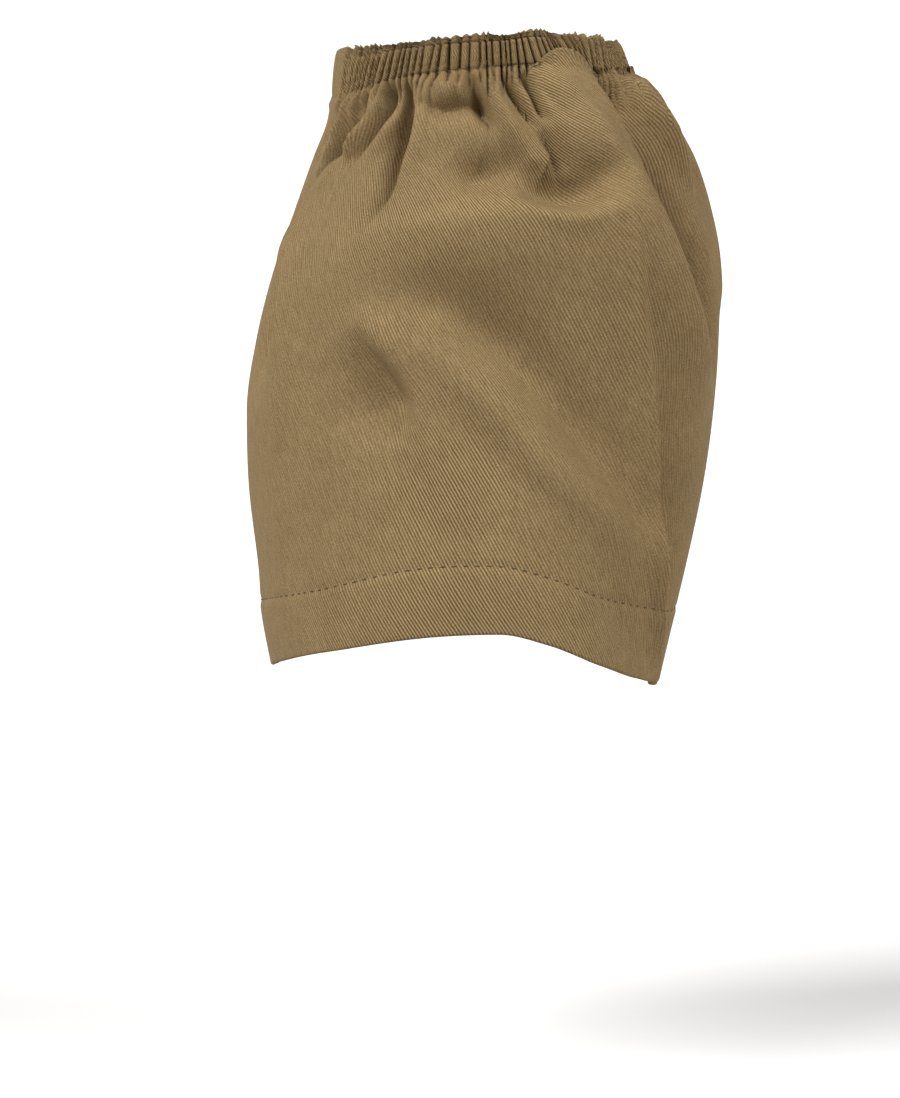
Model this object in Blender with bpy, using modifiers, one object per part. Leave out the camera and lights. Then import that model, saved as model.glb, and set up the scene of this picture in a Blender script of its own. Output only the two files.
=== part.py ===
"""A cotton drill boot cover, worn: two panels gathered onto an elastic ankle casing, with a turned-up hem.

The origin is the middle of the ankle ring, +Z is up and the front faces -Y. All tables are in millimetres and
degrees. A turn is the angle round the leg from the front, towards the right (+X), and a drop is the share of
the way down the cloth from the casing seam (0) to the hem edge (1).
"""

import math

import bpy
import numpy as np

MM = 0.001
COLLECTION = "boot_cover"

# Cloth and seams
WALL = 1.2  # panel cloth, as a solid wall
TURN_UP_WALL = 1.0
GAP = 0.3  # between pieces that touch
SEAM_TRIM = 0.34  # cut from each panel at a side seam
HEM_DROP = 0.87  # where the turned-up hem ends inside, 19.5 mm above the edge

# The ankle ring: how high the casing's seam with the panels runs, and how high the casing stands from it.
# The ring tips up at the front and at the right.
RING = [
    # turn, seam height, casing height
    (-180.0, -13.0, 9.4),
    (-140.0, -12.4, 9.6),
    (-90.0, -8.9, 11.2),
    (-62.0, -7.7, 12.2),
    (-46.0, -5.3, 10.6),
    (-31.0, -2.3, 9.3),
    (-11.0, -0.1, 8.7),
    (5.0, 0.9, 8.4),
    (18.0, 1.7, 8.6),
    (33.0, 0.4, 8.8),
    (48.0, -1.9, 9.5),
    (66.0, -1.9, 8.2),
    (90.0, -3.2, 8.6),
    (140.0, -10.6, 9.2),
    (180.0, -13.0, 9.4),
]

# Casing and elastic, across the ring's middle line
CASING_WALL = 1.0
CHANNEL = 1.6
ELASTIC_HEIGHT = 5.0
ELASTIC_THICKNESS = 1.0
PLEATS = 72
PLEAT_RELIEF = 1.3  # crest above valley
RING_INSET = CHANNEL / 2 + CASING_WALL  # of the ring's middle line from the panels' outer face
FLAT_SPOT = (-88.0, -58.0)  # turns between which the casing is not gathered
FLAT_RELIEF = 0.5  # share of a pleat's relief that the flat spot stands out

# The casing's section, an upside-down U from its inner wall's lower edge, up its outer side and down again:
# a wall, the share of a pleat's relief that the face takes, how much further out it bows, and its height as
# a share of half the casing's.
CASING_SECTION = [
    # wall, relief, bow, up
    ("inside of outer wall", 0.0, 0.0, -1.0),
    ("outer", 0.9, 0.0, -1.0),
    ("outer", 1.0, 0.4, 0.0),
    ("outer", 0.8, 0.0, 0.74),
    ("crown", 0.35, 0.3, 1.0),
    ("inner", 0.4, 0.0, 0.78),
    ("inner", 0.6, 0.0, -1.0),
    ("inside of inner wall", 0.0, 0.0, -1.0),
    ("inside of inner wall", 0.0, 0.0, 0.7),
    ("inside of outer wall", 0.0, 0.0, 0.7),
]

# Outline of the cover at each drop: its reach to each side of the axis, how far forward of the axis
# its widest point is on the left and on the right, and how square it is (2 is an ellipse).
SECTIONS = [
    # drop, left, right, front, back, left_forward, right_forward, square
    (0.00, 38.9, 39.4, 44.0, 44.0, 0.0, 0.0, 2.0),
    (0.04, 40.2, 46.2, 48.0, 47.0, 0.0, 0.0, 2.05),
    (0.10, 43.7, 51.2, 52.5, 50.0, 0.0, 0.0, 2.1),
    (0.20, 49.0, 56.8, 58.0, 54.0, 2.0, 0.0, 2.2),
    (0.30, 54.2, 60.8, 62.5, 57.0, 4.0, 0.0, 2.3),
    (0.42, 58.7, 62.2, 66.0, 59.5, 6.0, 0.0, 2.35),
    (0.55, 61.3, 61.0, 68.5, 60.5, 8.0, 0.0, 2.35),
    (0.68, 60.8, 58.3, 72.0, 61.0, 9.0, 0.0, 2.3),
    (0.82, 58.4, 53.6, 76.5, 61.5, 9.0, 2.0, 2.3),
    (0.92, 57.0, 49.6, 79.5, 62.0, 9.0, 6.0, 2.3),
    (1.00, 54.8, 46.2, 81.0, 62.0, 9.0, 14.0, 2.3),
]

# Height of the hem edge round the leg: raised on the instep, drooping at the two side creases.
HEM_HEIGHTS = [
    # turn, height
    (-180.0, -153.0),
    (-95.0, -157.0),
    (-60.0, -152.7),
    (-32.0, -146.7),
    (-10.0, -141.6),
    (3.0, -140.7),
    (12.0, -143.5),
    (24.0, -149.4),
    (40.0, -154.5),
    (70.0, -159.5),
    (130.0, -157.0),
    (180.0, -153.0),
]

# The two side seams, which start a little forward of the sides at the ring.
SEAMS = [
    # drop, left_turn, right_turn
    (0.00, -86.0, 86.0),
    (0.40, -88.0, 88.0),
    (0.70, -90.0, 90.0),
    (1.00, -90.0, 90.0),
]

# The largest folds, each along a straight run of the cloth: where it starts and ends, how far it spreads to
# each side, and how far it stands out (or, below 0, lies in) at its two ends.
FOLDS = [
    # from_turn, from_drop, to_turn, to_drop, width, from_height, to_height
    # the puff at the front right, which rises over the casing's lower edge
    (27.0, 0.03, 36.0, 0.12, 15.0, 10.0, 5.0),
    (38.0, 0.18, 50.0, 0.38, 8.0, 2.5, 3.0),
    (54.0, 0.41, 66.0, 0.50, 7.0, 2.0, 0.5),
    # the deep valley behind it
    (50.0, 0.06, 56.0, 0.22, 6.0, -6.0, -9.0),
    (58.0, 0.27, 69.0, 0.43, 6.5, -6.0, -1.5),
    (84.0, 0.06, 92.0, 0.30, 8.0, 1.0, 2.0),
    # gathers and hollows under the casing, across the front
    (10.0, 0.06, 17.0, 0.15, 4.0, -3.0, -2.0),
    (10.0, 0.21, 24.0, 0.20, 7.5, -4.5, -4.5),
    (-8.0, 0.14, 8.0, 0.18, 7.5, -3.0, -3.0),
    (-2.0, 0.03, 4.0, 0.11, 4.0, -2.5, -2.5),
    (-23.0, 0.04, -24.0, 0.16, 4.5, -4.0, -3.5),
    (-24.0, 0.16, -35.0, 0.29, 5.0, -3.0, -1.5),
    (-32.0, 0.03, -36.0, 0.12, 4.0, -3.0, -3.0),
    (-60.0, 0.04, -64.0, 0.22, 4.5, -4.0, -2.5),
    # pressed crease on the left, and the hollow behind it
    (-54.0, 0.14, -62.0, 0.45, 4.5, 1.5, 2.0),
    (-62.0, 0.45, -84.0, 0.70, 5.0, 2.0, 1.5),
    (-76.0, 0.14, -80.0, 0.45, 7.0, -3.0, -2.5),
    # soft drag lines down the front
    (-30.0, 0.41, -12.0, 0.45, 8.0, 1.5, 2.2),
    (-12.0, 0.45, 22.0, 0.70, 8.0, 2.2, 2.0),
    (-14.0, 0.50, 12.0, 0.76, 7.5, -1.5, -1.5),
    (-32.0, 0.50, -30.0, 0.58, 12.0, -2.5, -2.0),
    (39.0, 0.45, 45.0, 0.82, 6.0, 1.2, 1.8),
    (45.0, 0.82, 62.0, 1.00, 5.0, 1.8, 2.0),
    # the back
    (112.0, 0.04, 106.0, 0.20, 5.0, -4.0, -4.0),
    (130.0, 0.04, 138.0, 0.16, 5.0, -4.5, -3.0),
    (150.0, 0.10, 164.0, 0.22, 8.0, -4.0, -4.0),
    (154.0, 0.03, 152.0, 0.10, 4.0, -3.0, -3.0),
    (178.0, 0.03, 184.0, 0.17, 4.5, -4.0, -3.5),
    (202.0, 0.04, 198.0, 0.14, 4.0, -3.0, -3.0),
    (204.0, 0.18, 216.0, 0.26, 8.0, -3.5, -3.5),
    (226.0, 0.03, 232.0, 0.18, 5.0, -4.5, -3.0),
    (248.0, 0.04, 252.0, 0.24, 5.0, -4.0, -3.0),
    (140.0, 0.42, 176.0, 0.62, 8.0, 2.0, 2.0),
    (176.0, 0.62, 214.0, 0.78, 8.0, 2.0, 1.5),
    (150.0, 0.58, 190.0, 0.78, 8.0, -1.8, -1.5),
    (222.0, 0.46, 226.0, 0.60, 12.0, -2.2, -2.0),
]
# The puff at the front right also lifts over the casing's lower edge.
PUFF_TURN = 29.0
PUFF_SPREAD = 17.0
PUFF_DROP = 0.035
PUFF_FADE = 0.09
PUFF_RISE = 6.0
SEAM_FLAT = 0.008  # the first of the cloth, which stays under the casing

CLOTH_PER_TURN = 1.05  # of cloth in a degree of turn, for the folds' widths
CLOTH_PER_DROP = 150.0  # of cloth from the casing seam to the hem edge
SEAM_EASE = 5.0  # of cloth below the casing seam, over which the folds open

# The rows of each panel, and its columns
PANEL_DROPS = [0, 0.008, 0.03, 0.06, 0.1, 0.15, 0.2, 0.26, 0.33, 0.41, 0.5, 0.59, 0.68, 0.77, 0.87, 0.94, 1]
PANEL_COLUMNS = 40
ELASTIC_COLUMNS = 48
TURN_STEP = 0.5  # to each side, over which a normal is measured
DROP_STEP = 0.004
SHARP_ANGLE = 50.0  # between a ring's faces, past which their shading breaks


def smooth(at, knots, values):
    """A smooth curve through the knots, which doesn't overshoot them."""
    knots, values = np.asarray(knots, float), np.asarray(values, float)
    steps = np.diff(knots)
    slopes = np.diff(values) / steps
    tangents = np.concatenate([slopes[:1], (slopes[1:] + slopes[:-1]) / 2, slopes[-1:]])
    turning = np.concatenate([[False], slopes[1:] * slopes[:-1] <= 0, [False]])
    tangents[turning] = 0.0
    at = np.clip(at, knots[0], knots[-1])
    k = np.clip(np.searchsorted(knots, at, side="right") - 1, 0, len(steps) - 1)
    f, h = (at - knots[k]) / steps[k], steps[k]
    return (
        values[k] * (1 + 2 * f) * (1 - f) ** 2
        + tangents[k] * h * f * (1 - f) ** 2
        + values[k + 1] * f**2 * (3 - 2 * f)
        - tangents[k + 1] * h * f**2 * (1 - f)
    )


def column(table, at, which):
    """One column of a table, at this value of its first column."""
    rows = np.array(table)
    return smooth(at, rows[:, 0], rows[:, which])


def wrapped(turn):
    """The same turn, or the same step between turns, from -180 to 180."""
    return (turn + 180.0) % 360.0 - 180.0


def casing_height(turn):
    return column(RING, wrapped(turn), 2)


def ring_height(turn):
    """The height of the ankle ring's middle line."""
    return column(RING, wrapped(turn), 1) + GAP + casing_height(turn) / 2


def outline(turn, drop):
    """Where the smooth form is at this turn and drop, as x and y."""
    a = np.radians(turn)
    side, ahead = np.sin(a), np.cos(a)
    sideways = np.where(side > 0, column(SECTIONS, drop, 2), column(SECTIONS, drop, 1))
    along = np.where(ahead > 0, column(SECTIONS, drop, 3), column(SECTIONS, drop, 4))
    forward = np.where(side > 0, column(SECTIONS, drop, 6), column(SECTIONS, drop, 5))
    power = column(SECTIONS, drop, 7)
    reach = (np.abs(side / sideways) ** power + np.abs(ahead / along) ** power) ** (-1 / power)
    x = reach * side
    return x, -reach * ahead - forward * (x / sideways) ** 2


def ease_in(distance, over):
    share = np.clip(distance / over, 0, 1)
    return share * share * (3 - 2 * share)


def puff_rise(turn, drop):
    """How far the cloth of the puff is lifted."""
    around = np.exp(-(((turn - PUFF_TURN) / PUFF_SPREAD) ** 2))
    start = ease_in(drop - SEAM_FLAT, PUFF_DROP)
    end = np.exp(-((np.maximum(drop - PUFF_DROP, 0) / PUFF_FADE) ** 2))
    return PUFF_RISE * around * start * end


def form(turn, drop):
    """The smooth form of the worn cover, without its folds."""
    x, y = outline(turn, drop)
    seam = column(RING, wrapped(turn), 1)
    z = seam * (1 - drop) + column(HEM_HEIGHTS, turn, 1) * drop
    return np.stack([x, y, z], axis=-1)


def fold_heights(turn, drop):
    """How far all the folds together stand out of the form."""
    total = np.zeros_like(turn)
    for from_turn, from_drop, to_turn, to_drop, width, from_height, to_height in FOLDS:
        run = CLOTH_PER_TURN * wrapped(to_turn - from_turn), CLOTH_PER_DROP * (to_drop - from_drop)
        place = CLOTH_PER_TURN * wrapped(turn - from_turn), CLOTH_PER_DROP * (drop - from_drop)
        share = (place[0] * run[0] + place[1] * run[1]) / (run[0] ** 2 + run[1] ** 2)
        share = np.clip(share, 0, 1)
        away = np.hypot(place[0] - share * run[0], place[1] - share * run[1])
        total += (from_height + (to_height - from_height) * share) * np.exp(-((away / width) ** 2))
    return total * ease_in(drop * CLOTH_PER_DROP, SEAM_EASE)


def outward(turn, drop):
    """The unit normal of the smooth form."""
    sideways = form(turn + TURN_STEP, drop) - form(turn - TURN_STEP, drop)
    low, high = np.clip(drop - DROP_STEP, 0, 1), np.clip(drop + DROP_STEP, 0, 1)
    downward = form(turn, high) - form(turn, low)
    normal = np.cross(downward, sideways)
    return normal / np.linalg.norm(normal, axis=-1, keepdims=True)


def cloth(turn, drop):
    """The outer face of the panels."""
    points = form(turn, drop) + outward(turn, drop) * fold_heights(turn, drop)[..., None]
    points[..., 2] += puff_rise(turn, drop)
    return points


def seam_turn(side, drop):
    return column(SEAMS, drop, 1 if side == "left" else 2)


def panel_grid(side, drops):
    """Points of a front or back panel, from one side seam to the other."""
    drops = np.array(drops, float)
    left, right = seam_turn("left", drops), seam_turn("right", drops)
    start, end = (left, right) if side == "front" else (right, left + 360.0)
    reach = np.linalg.norm(form(start, drops)[:, :2], axis=-1)
    trim = np.degrees(SEAM_TRIM / reach)
    share = np.linspace(0, 1, PANEL_COLUMNS + 1)[None, :]
    turn = (start + trim)[:, None] * (1 - share) + (end - trim)[:, None] * share
    return cloth(wrapped(turn), np.repeat(drops[:, None], PANEL_COLUMNS + 1, axis=1))


def new_object(name, points, faces, material):
    mesh = bpy.data.meshes.new(name)
    mesh.from_pydata([tuple(p) for p in np.asarray(points).reshape(-1, 3) * MM], [], faces)
    mesh.materials.append(material)
    piece = bpy.data.objects.new(name, mesh)
    bpy.data.collections[COLLECTION].objects.link(piece)
    return piece


def strip_faces(rows, columns, close_rows=False, close_columns=False):
    """Quads between a grid's points, which face out where rows run down and columns run to the right."""
    faces = []
    for i in range(rows if close_rows else rows - 1):
        for j in range(columns if close_columns else columns - 1):
            a, b = i * columns + j, i * columns + (j + 1) % columns
            c, d = ((i + 1) % rows) * columns + (j + 1) % columns, ((i + 1) % rows) * columns + j
            faces.append((a, d, c, b))
    return faces


def add_shell(name, grid, thickness, material, inset=0.0):
    """An open surface with a wall inside it, or one that lies this far inside the grid."""
    piece = new_object(name, grid, strip_faces(grid.shape[0], grid.shape[1]), material)
    if inset:
        step = piece.modifiers.new("inset", "DISPLACE")
        step.mid_level = 0.0
        step.strength = -inset * MM
    wall = piece.modifiers.new("wall", "SOLIDIFY")
    wall.thickness = thickness * MM
    wall.offset = -1.0
    wall.use_even_offset = False
    piece.data.shade_smooth()
    return piece


def add_ring(name, turns, profile, material):
    """A closed ring round the ankle. The profile gives (out, up) from the ring's middle line at each turn,
    in an order that climbs the outer side."""
    points = []
    a = np.radians(turns)
    base, height = form(turns, np.zeros_like(turns)), ring_height(turns)
    for out, up in reversed(profile):
        ring = base.copy()
        ring[:, 0] += (out - RING_INSET) * np.sin(a)
        ring[:, 1] -= (out - RING_INSET) * np.cos(a)
        ring[:, 2] = height + up
        points.append(ring)
    faces = strip_faces(len(profile), len(turns), close_rows=True, close_columns=True)
    piece = new_object(name, np.array(points), faces, material)
    piece.data.shade_smooth()
    piece.data.set_sharp_from_angle(angle=math.radians(SHARP_ANGLE))
    return piece


def casing_profile(turns):
    """The casing's section at each turn, whose faces rise and fall with the pleats."""
    channel, outside = CHANNEL / 2, CHANNEL / 2 + CASING_WALL
    crest = np.where(np.arange(len(turns)) % 2 == 0, PLEAT_RELIEF, 0.0)
    flat = (turns > FLAT_SPOT[0]) & (turns < FLAT_SPOT[1])
    crest = np.where(flat, PLEAT_RELIEF * FLAT_RELIEF, crest)
    profile = []
    for wall, relief, bow, rise in CASING_SECTION:
        up = rise * casing_height(turns) / 2
        if wall == "outer":
            profile.append((outside + crest * relief + bow, up))
        elif wall == "inner":
            profile.append((-outside - crest * relief - bow, up))
        elif wall == "crown":
            profile.append((bow, up + crest * relief))
        else:
            profile.append((channel if wall == "inside of outer wall" else -channel, up))
    return profile


def elastic_profile():
    out, up = ELASTIC_THICKNESS / 2, ELASTIC_HEIGHT / 2
    return [(out, up), (-out, up), (-out, -up), (out, -up)]


def make_material(name, colour, roughness):
    material = bpy.data.materials.new(name)
    material.use_nodes = True
    shader = material.node_tree.nodes["Principled BSDF"]
    shader.inputs["Base Color"].default_value = (*colour, 1.0)
    shader.inputs["Roughness"].default_value = roughness
    shader.inputs["Metallic"].default_value = 0.0
    return material


def main():
    for thing in list(bpy.data.objects):
        bpy.data.objects.remove(thing)
    bpy.context.scene.collection.children.link(bpy.data.collections.new(COLLECTION))
    drill = {"colour": (0.246, 0.168, 0.084), "roughness": 0.9}
    hem_drops = [drop for drop in PANEL_DROPS if drop >= HEM_DROP]
    for side in ("front", "back"):
        add_shell(
            f"{side}_panel",
            panel_grid(side, PANEL_DROPS),
            WALL,
            make_material(f"{side}_drill", **drill),
        )
        add_shell(
            f"hem_{side}",
            panel_grid(side, hem_drops),
            TURN_UP_WALL,
            make_material(f"hem_{side}_drill", **drill),
            inset=WALL + GAP,
        )
    pleat_turns = np.linspace(-180, 180, 2 * PLEATS, endpoint=False)
    add_ring("casing", pleat_turns, casing_profile(pleat_turns), make_material("casing_drill", **drill))
    elastic_turns = np.linspace(-180, 180, ELASTIC_COLUMNS, endpoint=False)
    add_ring(
        "elastic_band",
        elastic_turns,
        elastic_profile(),
        make_material("elastic", colour=(0.6, 0.58, 0.52), roughness=0.8),
    )


main()
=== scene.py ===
"""Looks of a worn boot cover: two drill panels gathered onto an elastic ankle casing, with a stitched hem.

Lengths are in millimetres, and in metres only where a mesh or a node takes them. A turn is the angle round
the leg from the front towards the right, in degrees. A drop is the share of the way down the cloth, from the
casing seam (0) to the hem edge (1).
"""

import math

import bpy
import numpy as np
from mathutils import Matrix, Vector


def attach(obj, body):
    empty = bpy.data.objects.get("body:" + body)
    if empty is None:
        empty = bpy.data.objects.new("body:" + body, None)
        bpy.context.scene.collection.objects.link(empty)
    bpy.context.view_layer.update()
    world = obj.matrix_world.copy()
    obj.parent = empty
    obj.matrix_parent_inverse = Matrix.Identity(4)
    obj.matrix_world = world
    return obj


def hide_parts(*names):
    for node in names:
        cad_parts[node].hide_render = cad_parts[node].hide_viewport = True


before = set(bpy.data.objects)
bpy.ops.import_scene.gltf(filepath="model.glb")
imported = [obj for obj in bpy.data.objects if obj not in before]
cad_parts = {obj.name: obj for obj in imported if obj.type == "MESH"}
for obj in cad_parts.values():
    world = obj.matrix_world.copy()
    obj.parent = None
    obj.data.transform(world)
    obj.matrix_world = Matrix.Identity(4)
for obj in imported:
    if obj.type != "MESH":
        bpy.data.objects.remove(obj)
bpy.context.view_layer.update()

MM = 0.001
BODY = "root"

# ------ sizes of the garment
CLOTH = 0.62  # thickness of the drill
TURN_UP_GAP = 0.25  # between the hem's two layers
HEM_DEPTH = 19.5
HEM_ROLL = 0.75  # radius of the folded hem edge

# The ankle ring: heights of the seam of casing and panels, and of the casing from there
RING = [
    # turn, seam height, casing height
    (-180, -13, 9.4), (-140, -12.4, 9.6), (-90, -8.9, 11.2), (-62, -7.7, 12.2), (-46, -5.3, 10.6),
    (-31, -2.3, 9.3), (-11, -0.1, 8.7), (5, 0.9, 8.4), (18, 1.7, 8.6), (33, 0.4, 8.8), (48, -1.9, 9.5),
    (66, -1.9, 8.2), (90, -3.2, 8.6), (140, -10.6, 9.2), (180, -13, 9.4),
]

# The outline at each drop: its reach, how far forward it is widest, and how square it is (2 is an ellipse)
SECTIONS = [
    # drop, left, right, front, back, left_forward, right_forward, square
    (0, 38.9, 39.4, 44, 44, 0, 0, 2),
    (0.04, 40.2, 46.2, 48, 47, 0, 0, 2.05),
    (0.1, 43.7, 51.2, 52.5, 50, 0, 0, 2.1),
    (0.2, 49, 56.8, 58, 54, 2, 0, 2.2),
    (0.3, 54.2, 60.8, 62.5, 57, 4, 0, 2.3),
    (0.42, 58.7, 62.2, 66, 59.5, 6, 0, 2.35),
    (0.55, 61.3, 61, 68.5, 60.5, 8, 0, 2.35),
    (0.68, 60.8, 58.3, 72, 61, 9, 0, 2.3),
    (0.82, 58.4, 53.6, 76.5, 61.5, 9, 2, 2.3),
    (0.92, 57, 49.6, 79.5, 62, 9, 6, 2.3),
    (1, 54.8, 46.2, 81, 62, 9, 14, 2.3),
]

HEM_HEIGHTS = [
    # turn, height of the hem edge
    (-180, -153), (-95, -157), (-60, -152.7), (-32, -146.7), (-10, -141.6), (3, -140.7),
    (12, -143.5), (24, -149.4), (40, -154.5), (70, -159.5), (130, -157), (180, -153),
]

SEAMS = [
    # drop, left_turn, right_turn
    (0, -86, 86), (0.40, -88, 88), (0.70, -90, 90), (1, -90, 90),
]

# For the folds' widths
CLOTH_PER_TURN = [
    # drop, cloth in a degree of turn
    (0, 0.73), (0.1, 0.87), (0.2, 0.97), (0.3, 1.04), (0.5, 1.10), (1, 1.10),
]
CLOTH_PER_DROP = 150.0
LEAST_CLOTH = 0.7  # in a degree of turn
FOLD_REACH = 3.2  # widths, past which a fold is nothing
CURVE_STEPS = 6  # from a point of a fold to the next

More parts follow.
